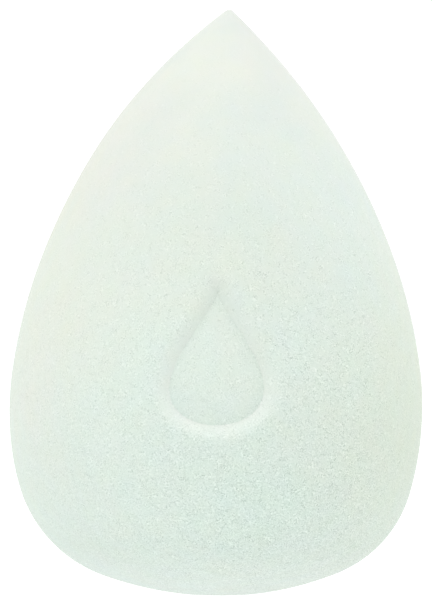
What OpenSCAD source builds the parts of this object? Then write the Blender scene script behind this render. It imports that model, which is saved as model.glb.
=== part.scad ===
// Teardrop makeup sponge, moulded in one piece from soft open-cell foam.
// The sponge stands on its flattened base with the tip up. The origin is the
// middle of that flat, and the pressed mark faces -Y.

/* [Body] */
// Height from the flat of the base to the end of the tip
body_h = 60; // [54:0.5:64]
// Diameter of the widest ring
body_d = 42.4; // [39:0.2:45]
// Height of the widest ring above the flat
belly_z = 19; // [17.5:0.25:21]
// Radius of the long flank below the tip
flank_r = 59.4; // [52:0.2:90]
// Radius of the side where the sponge is widest
belly_r = 29.4; // [26:0.2:33]
// Radius of the shoulder that turns the side under
shoulder_r = 13.2; // [11:0.2:15]
// Radius of the shallow dome under the sponge
base_r = 33.6; // [30:0.2:40]
// Rounding of the tip
tip_r = 0.6; // [0.2:0.05:2]

/* [Foot] */
// Diameter of the flat that the sponge stands on
foot_d = 7; // [5:0.25:10]

/* [Pressed mark] */
// Width of the plain drop pressed into the front
mark_w = 10.4; // [6:0.2:16]
// Height of the pressed drop
mark_h = 14; // [8:0.5:20]
// Height of the middle of the pressed drop above the flat
mark_z = 24.4; // [20:0.2:30]
// How far the drop's floor lies under the foam's surface
mark_depth = 0.8; // [0.3:0.05:1.5]

/* [Hidden] */
$fn = 96;
foam_colour = "#dcebdf";
// Degrees that one straight step of a curve turns through
curve_step = 2;
// Steps round the pressed drop, and the power that draws its sides to a point
mark_steps = 48;
mark_taper = 1.6;
// Run of the mark's cutter in front of the widest ring
overrun = 1;

// The outline is five arcs, each tangent to the next, in the plane of X and Z.
// Each circle lies inside the larger one that it touches, so the distance
// between the two centres is the difference of their radii.
foot_sag = base_r - sqrt(base_r * base_r - foot_d * foot_d / 4);
base_c = [0, base_r - foot_sag];
belly_c = [body_d / 2 - belly_r, belly_z];
tip_c = [0, body_h - tip_r];
shoulder_c = meeting(base_c, base_r - shoulder_r, belly_c, belly_r - shoulder_r);
flank_c = meeting(belly_c, flank_r - belly_r, tip_c, flank_r - tip_r);

// Where the arcs hand over to each other, as directions from the +X axis
tip_to_flank = direction(flank_c, tip_c);
flank_to_belly = direction(flank_c, belly_c);
belly_to_shoulder = direction(belly_c, shoulder_c);
shoulder_to_base = direction(base_c, shoulder_c);
base_to_foot = direction(base_c, [foot_d / 2, 0]);

// The point at distance ra from a and rb from b that lies on the left of a to b
function meeting(a, ra, b, rb) =
    let (
        gap = norm(b - a),
        along = (ra * ra - rb * rb + gap * gap) / (2 * gap),
        aside = sqrt(ra * ra - along * along),
        u = (b - a) / gap
    )
    a + along * u + aside * [-u.y, u.x];

function direction(from, to) = atan2(to.y - from.y, to.x - from.x);

// Points of one arc, in equal steps, both ends included
function arc(centre, radius, from, to) =
    let (steps = max(1, ceil(abs(to - from) / curve_step)))
    [for (i = [0 : steps])
        let (a = from + (to - from) * i / steps)
        centre + radius * [cos(a), sin(a)]];

// The arcs from the flank down to the base, taken in by a depth
function sides(depth, flank_from) = concat(
    arc(flank_c, flank_r - depth, flank_from, flank_to_belly),
    arc(belly_c, belly_r - depth, flank_to_belly, belly_to_shoulder),
    arc(shoulder_c, shoulder_r - depth, belly_to_shoulder, shoulder_to_base),
    arc(base_c, base_r - depth, shoulder_to_base, base_to_foot)
);

// Half outline of the foam, from the tip to the middle of the flat
function skin_outline() = concat(
    arc(tip_c, tip_r, 90, tip_to_flank),
    sides(0, tip_to_flank),
    [[0, 0]]
);

// The same outline at the depth of the mark's floor, where the flank runs
// straight on to the axis
function floor_outline() =
    let (
        apex = acos(-flank_c.x / (flank_r - mark_depth)),
        low = base_c + (base_r - mark_depth) * [cos(base_to_foot), sin(base_to_foot)]
    )
    concat(sides(mark_depth, apex), [[0, low.y]]);

// A drop of the given width and height: round below, drawn to a point above.
// Its widest place is where the derivative of the half width is zero.
function drop(w, h) =
    let (
        widest = (mark_taper + 1) / (mark_taper + 2),
        full = 2 * pow(widest, (mark_taper + 1) / 2) * sqrt(1 - widest)
    )
    [for (i = [0 : mark_steps - 1])
        let (
            t = 360 * i / mark_steps,
            side = sin(t) * pow(abs(sin(t / 2)), mark_taper)
        )
        [w / 2 * side / full, h / 2 * cos(t)]];

module turned(outline) {
    rotate_extrude()
        polygon(outline);
}

// Everything in front of the axis that the drop covers, down to the mark's floor
module pressed_drop() {
    difference() {
        translate([0, 0, mark_z])
            rotate([90, 0, 0])
                linear_extrude(height = body_d / 2 + overrun)
                    polygon(drop(mark_w, mark_h));
        turned(floor_outline());
    }
}

module foam_body() {
    color(foam_colour)
        difference() {
            turned(skin_outline());
            pressed_drop();
        }
}

foam_body();
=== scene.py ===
# %% [markdown]
# A makeup sponge: one teardrop of very fine, pale foam, with a plain drop pressed
# into its front. The packed model holds the sponge's true size and its plain solid.
# This lesson gives that solid what it lacks: the soft form, the pressed drop with
# its pulled-down edge, the cells of the foam, and the light that it is seen in.
# All lengths are in metres, in the packed model's own frame. The sponge stands on
# its foot at height zero, its tip points up and its front faces -Y.

# %% The packed model
import math

import bmesh
import bpy
import numpy as np
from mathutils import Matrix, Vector, noise


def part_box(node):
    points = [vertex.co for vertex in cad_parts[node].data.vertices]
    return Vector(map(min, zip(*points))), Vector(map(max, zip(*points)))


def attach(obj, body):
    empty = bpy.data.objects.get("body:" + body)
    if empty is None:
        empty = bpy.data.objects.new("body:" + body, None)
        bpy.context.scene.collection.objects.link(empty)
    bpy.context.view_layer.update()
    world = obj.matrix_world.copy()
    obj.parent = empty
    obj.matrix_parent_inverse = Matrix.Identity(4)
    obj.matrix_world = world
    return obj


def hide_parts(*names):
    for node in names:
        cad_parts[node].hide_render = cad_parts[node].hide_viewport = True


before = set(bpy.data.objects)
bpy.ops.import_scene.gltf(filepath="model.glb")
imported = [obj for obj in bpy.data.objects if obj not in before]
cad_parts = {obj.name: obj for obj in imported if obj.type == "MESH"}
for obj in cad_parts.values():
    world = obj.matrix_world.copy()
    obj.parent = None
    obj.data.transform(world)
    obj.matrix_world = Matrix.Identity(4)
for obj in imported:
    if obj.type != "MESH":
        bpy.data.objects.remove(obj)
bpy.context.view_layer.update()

# %% [markdown]
# The outline of the real sponge is a handful of round arcs, each running into the
# next without a corner: a tight one at the tip, a long flank, the belly, the
# shoulder that turns under, and the shallow dome that it stands on, which ends in a
# small flat. Height and width come from the packed solid, and the radii are the
# ones that it was drawn with. A curve drawn by eye would need many handles to stay
# this smooth, and arcs need one radius each.

# %% The arcs of the outline
MM = 0.001
low_corner, high_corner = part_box("foam_body")
body_h = high_corner.z
body_d = high_corner.x - low_corner.x
belly_z = 19 * MM
tip_r = 0.6 * MM
flank_r = 59.4 * MM
belly_r = 29.4 * MM
shoulder_r = 13.2 * MM
base_r = 33.6 * MM
foot_d = 7 * MM


def meeting(a, ra, b, rb):
    """The centre that lies ra from a and rb from b, on the left of the way from a to b."""
    way = b - a
    gap = math.hypot(*way)
    along = (ra**2 - rb**2 + gap**2) / (2 * gap)
    aside = math.sqrt(ra**2 - along**2)
    return a + (along * way + aside * np.array([-way[1], way[0]])) / gap


def direction(a, b):
    """The way from a to b, as an angle from +X."""
    return math.atan2(b[1] - a[1], b[0] - a[0])


foot_edge = np.array([foot_d / 2, 0])
base_c = np.array([0, math.sqrt(base_r**2 - foot_edge[0] ** 2)])
belly_c = np.array([body_d / 2 - belly_r, belly_z])
tip_c = np.array([0, body_h - tip_r])
shoulder_c = meeting(base_c, base_r - shoulder_r, belly_c, belly_r - shoulder_r)
flank_c = meeting(belly_c, flank_r - belly_r, tip_c, flank_r - tip_r)

turns = [
    math.pi / 2,
    direction(flank_c, tip_c),
    direction(flank_c, belly_c),
    direction(belly_c, shoulder_c),
    direction(base_c, shoulder_c),
    direction(base_c, foot_edge),
]
centres = [tip_c, flank_c, belly_c, shoulder_c, base_c]
radii = [tip_r, flank_r, belly_r, shoulder_r, base_r]
lengths = [r * (a - b) for r, a, b in zip(radii, turns, turns[1:])]
outline_length = sum(lengths) + foot_d / 2
print(f"from the tip to the middle of the foot: {outline_length / MM:.1f} mm")


def outline(way):
    """Radius, height and the outward normal's angle, at distances along the outline from the tip."""
    angle = np.full_like(way, -math.pi / 2)
    radius = np.maximum(0, outline_length - way)
    level = np.zeros_like(way)
    done = 0
    for centre, r, start, length in zip(centres, radii, turns, lengths):
        here = (way >= done) & (way < done + length)
        angle[here] = start - (way[here] - done) / r
        radius[here] = centre[0] + r * np.cos(angle[here])
        level[here] = centre[1] + r * np.sin(angle[here])
        done += length
    return radius, level, angle


# %% [markdown]
# The skin could be a lathe, a curve turned round the axis, but a lathe squeezes
# long thin faces together at the tip, and the grain of the foam would bunch up
# there. Here a cube is cut into a fine grid and blown onto the sponge instead. The
# faces then stay near one size everywhere, and four of them meet at the tip as
# they do elsewhere. Each point of the cube gives a direction: how far that
# direction lies from straight up says how far along the outline the point goes.

# %% A cube grid and the way onto the sponge
cube_side = 2
grid_cuts = 111

grid = bmesh.new()
bmesh.ops.create_cube(grid, size=cube_side)
bmesh.ops.subdivide_edges(grid, edges=grid.edges[:], cuts=grid_cuts, use_grid_fill=True)
print(len(grid.faces), "faces on the even grid")


def on_sponge(grid):
    """Where the grid's points lie on the upright sponge, and their outward normals."""
    cube = np.array([v.co[:] for v in grid.verts])
    way = np.tan(cube * math.pi / 4)
    way /= np.linalg.norm(way, axis=1)[:, None]
    from_top = np.arccos(np.clip(way[:, 2], -1, 1))
    round_axis = np.arctan2(way[:, 1], way[:, 0])
    radius, level, angle = outline(from_top / math.pi * outline_length)
    turned = np.stack([np.cos(round_axis), np.sin(round_axis)], axis=1)
    place = np.column_stack([radius[:, None] * turned, level])
    normal = np.column_stack([np.cos(angle)[:, None] * turned, np.sin(angle)])
    return place, normal


# %% [markdown]
# The mark on the front is a plain water drop, hot-pressed into the foam. A press
# leaves a floor with a crisp rim, and the skin round it is pulled down towards
# that rim in a short curve, so the mark has no real wall. One number says all of
# this for any point of the front: how far it is from the floor's rim, counted below
# zero over the floor. A bump map could fake the shade of it, but not the dent that
# shows from the side, so the points of the mesh are moved.

# %% The pressed drop's outline
mark_w = 10.4 * MM
mark_h = 14 * MM
mark_z = 24.4 * MM
mark_taper = 1.6
rim_steps = 240
floor_inset = 0.35 * MM
floor_w = mark_w - 2 * floor_inset
floor_h = mark_h - 2 * floor_inset


def half_drop(t, w):
    """Half the width of a drop at the angle t from its point, w at its widest."""
    widest = (mark_taper + 1) / (mark_taper + 2)
    full = 2 * widest ** ((mark_taper + 1) / 2) * math.sqrt(1 - widest)
    return w / 2 * np.sin(t) * np.abs(np.sin(t / 2)) ** mark_taper / full


def rim_distance(place):
    """Distance of front points from the rim of the drop's floor, below zero over the floor."""
    t = np.linspace(0, 2 * math.pi, rim_steps + 1)
    rim = np.column_stack([half_drop(t, floor_w), floor_h / 2 * np.cos(t)])
    point = place[:, [0, 2]] - [0, mark_z]
    start = rim[None, :-1]
    side = rim[None, 1:] - start
    share = np.sum((point[:, None] - start) * side, axis=2) / np.sum(side**2, axis=2)
    near = start + np.clip(share, 0, 1)[:, :, None] * side
    distance = np.sqrt(np.min(np.sum((point[:, None] - near) ** 2, axis=2), axis=1))
    at_level = np.arccos(np.clip(2 * point[:, 1] / floor_h, -1, 1))
    inside = np.abs(point[:, 0]) < half_drop(at_level, floor_w)
    return np.where(inside, -distance, distance)


print(f"the drop's floor is {floor_w / MM:.1f} mm wide and {floor_h / MM:.1f} mm high")

# %% [markdown]
# The rim is crisp, and the even grid's faces are wider than the crispness of it.
# Cutting the whole grid finer would cost four times the faces for one small mark,
# so only the edges near the mark are halved, and those at the rim halved again.
# The tip has the tightest arc, so its edges are halved too. This is done on the
# cube, before it is blown onto the sponge, so the new points land on the true
# curve and not on flat faces.

# %% Finer faces at the drop
mark_margin = 2.2 * MM
rim_margin = 0.8 * MM
tip_margin = 2.5 * MM


def mark_distance(place):
    """Distance from the rim for points near the mark, and a large one for all others."""
    distance = np.full(len(place), body_h)
    close = (
        (place[:, 1] < 0)
        & (np.abs(place[:, 0]) < mark_w / 2 + 2 * mark_margin)
        & (np.abs(place[:, 2] - mark_z) < mark_h / 2 + 2 * mark_margin)
    )
    distance[close] = rim_distance(place[close])
    return distance


def cut_finer(grid, wanted):
    """Halves every edge of the grid that has both its ends wanted."""
    grid.verts.index_update()
    edges = [e for e in grid.edges if wanted[e.verts[0].index] and wanted[e.verts[1].index]]
    bmesh.ops.subdivide_edges(grid, edges=edges, cuts=1, use_grid_fill=True, use_single_edge=True)


place, normal = on_sponge(grid)
cut_finer(grid, (mark_distance(place) < mark_margin) | (place[:, 2] > body_h - tip_margin))
place, normal = on_sponge(grid)
cut_finer(grid, np.abs(mark_distance(place)) < rim_margin)
place, normal = on_sponge(grid)
print(len(grid.faces), "faces with the mark cut finer")

# %% [markdown]
# Under the press the foam gives way most along the rim, and the middle of the
# floor springs back a little. Outside the rim the skin comes back up in a short
# curve, steep at the rim and level where it meets the belly. Where the drop narrows
# to its point the two sides are so close that the skin bridges them, so the mark
# is shallower there.

# %% The press
press_depth = 0.86 * MM
spring_back = 0.18 * MM
spring_width = 3 * MM
pull_width = 1.65 * MM
pull_power = 1.4
bridged_share = 0.2


def smooth(x):
    """Zero below 0, one above 1, and an S between."""
    x = np.clip(x, 0, 1)
    return x * x * (3 - 2 * x)


from_rim = mark_distance(place)
over_floor = from_rim < 0
inward = np.clip(-from_rim / spring_width, 0, 1)
outward = np.clip(from_rim / pull_width, 0, 1)
risen = spring_back * (2 * inward - inward**2)
pulled = 1 - ((pull_power + 1) * outward - outward ** (pull_power + 1)) / pull_power
press = np.where(over_floor, press_depth - risen, press_depth * pulled)
press *= 1 - bridged_share * smooth((place[:, 2] - mark_z) / (mark_h / 2))
print(f"{np.sum(over_floor)} points lie on the pressed floor, the deepest {press.max() / MM:.2f} mm down")

# %% [markdown]
# Foam is never as true as its mould. The photographed sponge leans at the tip by
# about a millimetre, its belly sways a little the other way, its upper flank is a
# hair slimmer than the arcs, and its left side stands a hair higher than its right.
# The skin also has a faint unevenness at several sizes, from a slow wave down to a
# fine peel. The waves are noise in space, each read from a place of its own and the
# same at every run, and they fade out at the foot so that it stays flat on the
# floor.

# %% Lean and unevenness
tip_lean = 1.22 * MM
lean_reach = 8 * MM
sway = -0.22 * MM
sway_z = 12.5 * MM
sway_reach = 9 * MM
slim = 0.08 * MM
slim_z = 32 * MM
slim_reach = 27.5 * MM
slant = 0.007
foot_fade = 2.5 * MM
waves = [
    ("slow wave", 17 * MM, 0.16 * MM),
    ("soft dents", 4.2 * MM, 0.012 * MM),
    ("peel", 1.3 * MM, 0.005 * MM),
]

swell = np.zeros(len(place))
for wave_name, wave_length, wave_height in waves:
    start = Vector((wave_length, 2 * wave_length, 3 * wave_length))
    wave = wave_height * np.array([noise.noise((Vector(p) + start) / wave_length) for p in place])
    swell += wave
    print(f"{wave_name}: {np.ptp(wave) / MM:.3f} mm from lowest to highest")
swell *= smooth(place[:, 2] / foot_fade)
swell -= slim * smooth((place[:, 2] - slim_z) / slim_reach)

shaped = place + normal * (swell - press)[:, None]
shaped[:, 0] += tip_lean * np.exp((place[:, 2] - body_h) / lean_reach)
shaped[:, 0] += sway * np.exp(-(((place[:, 2] - sway_z) / sway_reach) ** 2))
shaped[:, 2] = np.maximum(shaped[:, 2] - slant * place[:, 0], 0)

# %% [markdown]
# The points go back into the grid, and the grid becomes the mesh of the sponge.
# Each point also keeps two shares as named attributes, for the finish to read: how
# far the press has stretched the skin there, because stretched skin has its cells
# pulled flat and is paler, and low on the mark carries a painted highlight, and
# whether the point lies on the pressed floor. The sponge rides on the packed
# model's one body and stands for its one solid.

# %% The sponge
for vert, point in zip(grid.verts, shaped):
    vert.co = point
mesh = bpy.data.meshes.new("foam_sponge")
grid.to_mesh(mesh)
grid.free()
mesh.polygons.foreach_set("use_smooth", [True] * len(mesh.polygons))
stretched = np.where(over_floor, 0, 1 - outward)
for share_name, share in ("stretched", stretched), ("pressed", over_floor):
    attribute = mesh.attributes.new(share_name, "FLOAT", "POINT")
    attribute.data.foreach_set("value", share.astype(float))
mesh.update()

sponge = bpy.data.objects.new("foam_sponge", mesh)
bpy.context.scene.collection.objects.link(sponge)
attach(sponge, "root")
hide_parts("foam_body")
triangles = sum(len(face.vertices) - 2 for face in mesh.polygons)
print(len(mesh.vertices), "points and", triangles, "triangles in the sponge")

# %% [markdown]
# A material is sums done at every point of the surface. Wiring Math nodes by hand
# hides such a sum, so one small class lets Python write it: it wraps a node's
# output, and + - * on it add the node that does it. So does at_least, which stops
# a sum from falling below a number. Python asks for the reflected forms when the
# number stands first, as in 1 - share.

# %% Sums of wires
class Wire:
    """One output of a node, which Python's + - * work on."""

    def __init__(self, graph, socket):
        self.graph = graph
        self.socket = socket

    def maths(self, operation, *terms):
        return self.graph.node("Math", {"operation": operation}, dict(enumerate(terms)))

    def __add__(self, other):
        return self.maths("ADD", self, other)

    def __sub__(self, other):
        return self.maths("SUBTRACT", self, other)

    def __mul__(self, other):
        return self.maths("MULTIPLY", self, other)

    def __rsub__(self, other):
        return self.maths("SUBTRACT", other, self)

    __radd__ = __add__
    __rmul__ = __mul__

    def at_least(self, low):
        return self.maths("MAXIMUM", self, low)


print("sums that a wire can do: + - * at_least")

# %% [markdown]
# The other nodes are the kinds of noise, the ramps, the mixes and the shader itself.
# They differ in their choices and sockets and in nothing else, so one method makes
# them all: it sets the node's choices first, because some of them change which
# sockets there are, and then feeds its sockets with numbers or with other outputs.
# What is asked for often, such as a ramp or a mix, has a short name of its own.

# %% The nodes of a material
class Graph:
    """The nodes of a material or of the world."""

    def __init__(self, owner):
        owner.use_nodes = True
        self.tree = owner.node_tree
        self.tree.nodes.clear()

    def node(self, kind, choices=None, sockets=None, out=0):
        """Adds a node, makes its choices, feeds its sockets, and gives one of its outputs."""
        made = self.tree.nodes.new("ShaderNode" + kind)
        for name, choice in (choices or {}).items():
            setattr(made, name, choice)
        for name, fed in (sockets or {}).items():
            if isinstance(fed, Wire):
                self.tree.links.new(fed.socket, made.inputs[name])
            else:
                made.inputs[name].default_value = fed
        return Wire(self, made.outputs[out]) if made.outputs else None

    def sibling(self, wire, out):
        """Another output of the node that the wire comes from."""
        return Wire(self, wire.socket.node.outputs[out])

    def ramp(self, wire, low, high):
        """A smooth rise from 0 where the wire is at low to 1 where it is at high."""
        sockets = {"Value": wire, "From Min": low, "From Max": high}
        return self.node("MapRange", {"interpolation_type": "SMOOTHSTEP"}, sockets)

    def mix(self, share, a, b):
        """A colour that is a where share is 0 and b where it is 1."""
        return self.node("Mix", {"data_type": "RGBA"}, {0: share, 6: a, 7: b}, out=2)

    def vector(self, operation, *terms, out=0):
        """A sum done on three numbers at once, such as the red, green and blue of a colour."""
        return self.node("VectorMath", {"operation": operation}, dict(enumerate(terms)), out)


print("a graph can make", ", ".join(name for name in vars(Graph) if not name.startswith("_")))

# %% [markdown]
# The foam's colours were chosen on a screen, so they are written as a screen's levels
# from 0 to 255. Those levels follow a curve, and Blender counts in amounts of light,
# so a level that is only divided by 255 would come out far too pale. One helper takes
# the levels back along the curve.

# %% Colours as a screen shows them
top_level = 255
curve_start = 0.04045
start_slope = 12.92
curve_lift = 0.055
curve_power = 2.4


def screen(*levels):
    """A colour given as levels from 0 to 255 on a screen, as the amounts of light that Blender wants."""
    shares = [level / top_level for level in levels]
    light = [
        s / start_slope if s <= curve_start else ((s + curve_lift) / (1 + curve_lift)) ** curve_power
        for s in shares
    ]
    return (*light, 1)


white = (1, 1, 1, 1)
mid_level = 128
print(f"a mid grey of {mid_level} on the screen gives back {screen(mid_level)[0]:.3f} of the light")

# %% [markdown]
# Open-cell foam is a froth of tiny bubbles, cut or burst where they meet the skin.
# On this sponge most cells are an eighth to a fifth of a millimetre wide, so each
# one is seen only as a speck. Voronoi noise makes exactly this: every point knows
# how far the nearest bubble's middle is, and a ramp of that distance is a round
# pit. Two sizes of bubbles are laid over each other. The lattice that this noise
# starts from would show as faint rings where the skin faces along one of its axes,
# so it is stood on a corner, which turns them away from the front, and space is
# crumpled a little as well.

# %% The foam's cells
large_cell = 0.18 * MM
large_share = 0.8
small_cell = 0.125 * MM
pit_span = (0.2, 0.7)
pit_mean = 0.63
crumple_size = 1.5 * MM
crumple = 0.6 * MM
on_corner = (math.atan(math.sqrt(0.5)), 0, math.pi / 4)
noise_mean = 0.5

foam = bpy.data.materials.new("fine_foam")
g = Graph(foam)
spot = g.node("TexCoord", out="Object")
stood = g.node("VectorRotate", {"rotation_type": "EULER_XYZ"}, {"Vector": spot, "Rotation": on_corner})
warp = g.node("TexNoise", {}, {"Vector": spot, "Scale": 1 / crumple_size}, out="Color")
in_foam = g.vector("MULTIPLY_ADD", warp, (crumple,) * 3, stood)


def bubbles(size):
    """Round pits of about one size: below zero in a pit, above it on the walls, and zero on the whole."""
    from_middle = g.node("TexVoronoi", {}, {"Vector": in_foam, "Scale": 1 / size}, out="Distance")
    return g.ramp(from_middle, *pit_span) - pit_mean


def cloud(size, detail=2.0):
    """Soft noise round zero."""
    noise_there = g.node("TexNoise", {}, {"Vector": spot, "Scale": 1 / size, "Detail": detail}, out="Fac")
    return noise_there - noise_mean


cells = large_share * bubbles(large_cell) + bubbles(small_cell)
print(f"cells of {small_cell / MM} and {large_cell / MM} mm")

# %% [markdown]
# The skin is not open to the same degree everywhere. It is tight high on the
# sponge, its cells are pulled flat where it is stretched round the mark, the pressed
# floor is a little closed, and the cells are weaker on both sides than on the front.
# On the left this is painted light: the low key light falls full on that side and
# washes out the painted shade of its pits. What is left of each is a share, and
# their product scales the cells. The cells also stand in loose clumps, and the
# tighter the skin, the more of it lies shut between the clumps, so that high up only
# scattered flecks are left. Here and there one large pore has burst, and each has
# its own lot: the random colour of its Voronoi cell says whether it is open.

# %% Where the skin is open
tight_span = (4 * MM, 66 * MM)
tight_loss = 1.0
taut_loss = 0.6
pressed_loss = 0.3
lit_left_span = (4 * MM, -24 * MM)
lit_left_loss = 0.45
right_span = (12 * MM, 21 * MM)
right_loss = 0.35
clump_size = 0.5 * MM
clump_gain = 3.0
fleck_gain = 8.0
pore_cell = 0.38 * MM
pore_span = (0.08, 0.36)
burst_span = (0.78, 0.95)

height = g.node("SeparateXYZ", {}, {"Vector": spot}, out="Z")
across = g.sibling(height, "X")
taut = g.node("Attribute", {"attribute_name": "stretched"}, out="Fac")
pressed = g.node("Attribute", {"attribute_name": "pressed"}, out="Fac")
tight = g.ramp(height, *tight_span)
# Painted light: the cells are made weaker on the left, where the low key light washes out the painted shade
# of their pits.
weaker_sides = lit_left_loss * g.ramp(across, *lit_left_span) + right_loss * g.ramp(across, *right_span)
open_share = (1 - tight_loss * tight) * (1 - taut_loss * taut) * (1 - pressed_loss * pressed) * (1 - weaker_sides)
clumps = (1 + (clump_gain + fleck_gain * tight) * cloud(clump_size)).at_least(0)
froth = cells * clumps * open_share

speck = g.node("TexVoronoi", {}, {"Vector": in_foam, "Scale": 1 / pore_cell}, out="Distance")
lot = g.node("SeparateColor", {}, {"Color": g.sibling(speck, "Color")}, out="Red")
pores = (1 - g.ramp(speck, *pore_span)) * g.ramp(lot, *burst_span) * open_share
print(len(foam.node_tree.nodes), "nodes for the cells and pores")

# %% [markdown]
# The foam is not one mint. It is a clear mint low down and greyer towards the tip,
# with soft creamy patches. In a few wide places the colour also leans to cream,
# rose, grey or green, by less than a tenth. Three of these casts are painted light
# and shade for light that falls unevenly: a painted shade low on the left, a painted
# rosy shade high on the left and a painted cool light high on the right. Such a
# cast is a soft ball in space. Its row gives the ball's middle and reach in
# millimetres, and the shares by which red, green and blue change at the middle.
# Stretched skin is paler, and along the lower rim of the mark, whose wall faces up
# into the light, it is paler still: a painted highlight.

# %% The foam's dye
low_mint = screen(195, 207, 199)
high_mint = screen(190, 195, 189)
rise_span = (14 * MM, 64 * MM)
cream = screen(200, 203, 190)
patch_size = 8 * MM
patch_span = (-0.15, 0.15)
patch_share = 0.1
patch_gain = 0.28
# Three casts are painted light and shade: the grey one low on the left, the rosy one high on the left and the
# cool one high on the right.
casts = [
    ("creamy right", (20, -8, 18), 20, (-0.025, -0.045, -0.095)),
    ("creamy left", (-16, -8, 33), 18, (0.022, -0.012, -0.035)),
    ("painted rosy shade high left", (-10, -6, 45), 14, (0.005, -0.02, -0.01)),
    ("painted cool light high right", (10, -10, 42), 15, (-0.015, 0.01, 0.035)),
    ("warm high middle", (1, -15, 36), 13, (-0.02, -0.022, -0.035)),
    ("pale tip", (5, -4, 53), 10, (0.028, 0.012, 0.022)),
    ("rosy left belly", (-19, -10, 20), 14, (0.02, -0.03, -0.03)),
    ("painted shade low left", (-15, -10, 8), 15, (-0.035, -0.035, -0.028)),
    ("green low middle", (3, -19, 10), 9, (-0.015, 0.015, 0.015)),
]
pale = screen(207, 210, 205)
pale_share = 0.12
rim_highlight_gain = 0.46
whole = Vector((1, 1, 1))

tone = g.mix(g.ramp(height, *rise_span), low_mint, high_mint)
patches = g.ramp(cloud(patch_size), *patch_span)
tone = g.mix(patches * (patch_share + patch_gain * tight), tone, cream)
for cast_name, middle, reach, change in casts:
    away = g.vector("DISTANCE", spot, Vector(middle) * MM, out="Value")
    tint = g.vector("MULTIPLY_ADD", g.ramp(away, reach * MM, 0), change, whole)
    tone = g.vector("MULTIPLY", tone, tint)
    print(f"{cast_name}: reaches {reach} mm each way")
# Painted highlight: low on the mark, where the lower wall faces up into the light, the stretched skin is made
# paler still.
lit_lower_mark = g.ramp(height, mark_z + mark_h / 2, mark_z - mark_h / 2)
tone = g.mix(taut * (pale_share + rim_highlight_gain * lit_lower_mark), tone, pale)

# %% [markdown]
# Over the dye lie three finer things. The dye drifts a little in colour over a
# couple of millimetres. Cells and pores are darker than the walls between them,
# because little of the light that enters a pit gets out again, and a bump alone
# would tilt the light without darkening the pit. And the lowest few millimetres
# are painted paler: painted light that stands in for the light from the table,
# which soaks through the edge of the foam there.
# Foam has no gloss: what shine it has is a faint soft sheen at grazing angles, and
# a little light passes under its skin.

# %% The foam's finish
dye_size = 2.4 * MM
dye_detail = 3.0
dye_drift = Vector((0.06, 0.03, 0.08))
froth_shade = (0.183, 0.160, 0.174)
pore_shade = (-0.05, -0.05, -0.05)
foot_span = (0, 6 * MM)
painted_foot_glow = (0.155, 0.125, 0.155)
pit_depth = 0.015 * MM

drift = g.node("TexNoise", {}, {"Vector": spot, "Scale": 1 / dye_size, "Detail": dye_detail}, out="Color")
drift = g.vector("MULTIPLY_ADD", drift, dye_drift, whole - noise_mean * dye_drift)
shade = g.vector("MULTIPLY_ADD", froth, froth_shade, whole)
shade = g.vector("MULTIPLY_ADD", pores, pore_shade, shade)
# Painted light: the lowest few millimetres are made paler in the colour, for the table's light that soaks
# through the foam's edge.
glow = g.vector("MULTIPLY_ADD", 1 - g.ramp(height, *foot_span), painted_foot_glow, whole)
colour = g.vector("MULTIPLY", g.vector("MULTIPLY", tone, drift), g.vector("MULTIPLY", shade, glow))
bump = g.node("Bump", {}, {"Strength": 1.0, "Distance": pit_depth, "Height": froth - pores})

finish = {
    "Base Color": colour,
    "Roughness": 0.92,
    "Specular IOR Level": 0.1,
    "Subsurface Weight": 0.15,
    "Subsurface Radius": (1.0, 1.0, 1.0),
    "Subsurface Scale": 0.9 * MM,
    "Sheen Weight": 0.06,
    "Sheen Roughness": 0.5,
    "Sheen Tint": (1.0, 0.92, 0.82, 1),
    "Normal": bump,
}
g.node("OutputMaterial", {}, {"Surface": g.node("BsdfPrincipled", {}, finish)})
mesh.materials.append(foam)
print(len(foam.node_tree.nodes), "nodes in the foam")

# %% [markdown]
# The sponge stands on a light table: a pale sheet that is lit from below, as
# product photographers use to lose the shadow. The sheet's own glow reaches the
# underside of the sponge, so its lowest edge is lighter than its belly. It is
# stage and not part of the sponge.

# %% The light table
table_r = 3.0
table_sides = 64
sheet_grey = 0.24
glow_strength = 0.99

table_grid = bmesh.new()
bmesh.ops.create_circle(table_grid, cap_ends=True, radius=table_r, segments=table_sides)
table_mesh = bpy.data.meshes.new("light_table")
table_grid.to_mesh(table_mesh)
table_grid.free()
light_table = bpy.data.objects.new("light_table", table_mesh)
bpy.context.scene.collection.objects.link(light_table)

sheet = bpy.data.materials.new("lit_sheet")
sheet_graph = Graph(sheet)
sheet_finish = {
    "Base Color": (sheet_grey, sheet_grey, sheet_grey, 1),
    "Roughness": 1.0,
    "Specular IOR Level": 0.0,
    "Emission Color": white,
    "Emission Strength": glow_strength,
}
sheet_surface = sheet_graph.node("BsdfPrincipled", {}, sheet_finish)
sheet_graph.node("OutputMaterial", {}, {"Surface": sheet_surface})
table_mesh.materials.append(sheet)
print(f"the table is {2 * table_r:.0f} m across")

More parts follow.
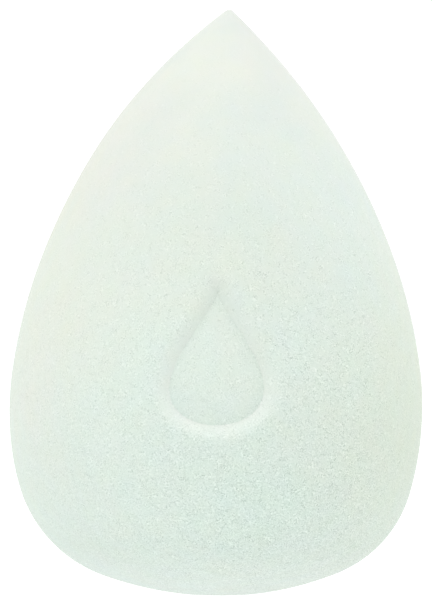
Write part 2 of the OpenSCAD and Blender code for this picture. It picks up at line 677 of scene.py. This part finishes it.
# %% [markdown]
# The light in the photograph comes from everywhere, and most of it from above. A
# surround brighter than white gives the first and keeps the background clean. Soft
# round panels give the rest: a low key on the left that rounds the body, a strong
# one overhead that lights the lower wall of the pressed drop and leaves its upper
# walls in shade, and a weak one on the right that keeps that side from going dull.

# %% The light
surround_strength = 1.1
panel_distance = 0.7
panel_size = 0.5
panels = [
    ("key_panel", (-0.8, -0.5, 0.25), 0.9),
    ("top_panel", (0.05, -0.05, 1.0), 2.1),
    ("right_panel", (0.65, -0.35, 0.5), 0.54),
]

world = bpy.data.worlds.new("white_surround")
bpy.context.scene.world = world
world_graph = Graph(world)
surround = world_graph.node("Background", {}, {"Color": white, "Strength": surround_strength})
world_graph.node("OutputWorld", {}, {"Surface": surround})

body_middle = Vector((0, 0, body_h / 2))
for panel_name, way, power in panels:
    light = bpy.data.lights.new(panel_name, "AREA")
    light.shape = "DISK"
    light.size = panel_size
    light.energy = power
    panel = bpy.data.objects.new(panel_name, light)
    panel.location = body_middle + Vector(way).normalized() * panel_distance
    panel.rotation_euler = Vector(way).to_track_quat("Z", "Y").to_euler()
    bpy.context.scene.collection.objects.link(panel)
    print(f"{panel_name}: {power} W")
bpy.context.scene.view_settings.view_transform = "Standard"

# %% [markdown]
# The camera looks level at the middle of the sponge through a long lens. The
# photograph gives its frame: the tip and the foot lie at two known rows of it, so
# the height of the sponge over the rows between them is the size of one pixel,
# and the lens follows from that size and the distance.

# %% The camera
picture_w = 432
picture_h = 605
tip_row = 9.0
foot_row = 593.5
axis_column = 217.4
camera_distance = 0.5
sensor = 36 * MM

pixel = body_h / (foot_row - tip_row)
lens = bpy.data.cameras.new("camera")
lens.sensor_width = sensor / MM
lens.lens = sensor * camera_distance / (picture_h * pixel) / MM
camera = bpy.data.objects.new("camera", lens)
camera.location = (
    (picture_w / 2 - axis_column) * pixel,
    -camera_distance,
    (foot_row - picture_h / 2) * pixel,
)
camera.rotation_euler = (math.pi / 2, 0, 0)
bpy.context.scene.collection.objects.link(camera)
bpy.context.scene.camera = camera
print(f"one pixel is {pixel / MM:.4f} mm, and the lens is {lens.lens:.0f} mm")

# %% [markdown]
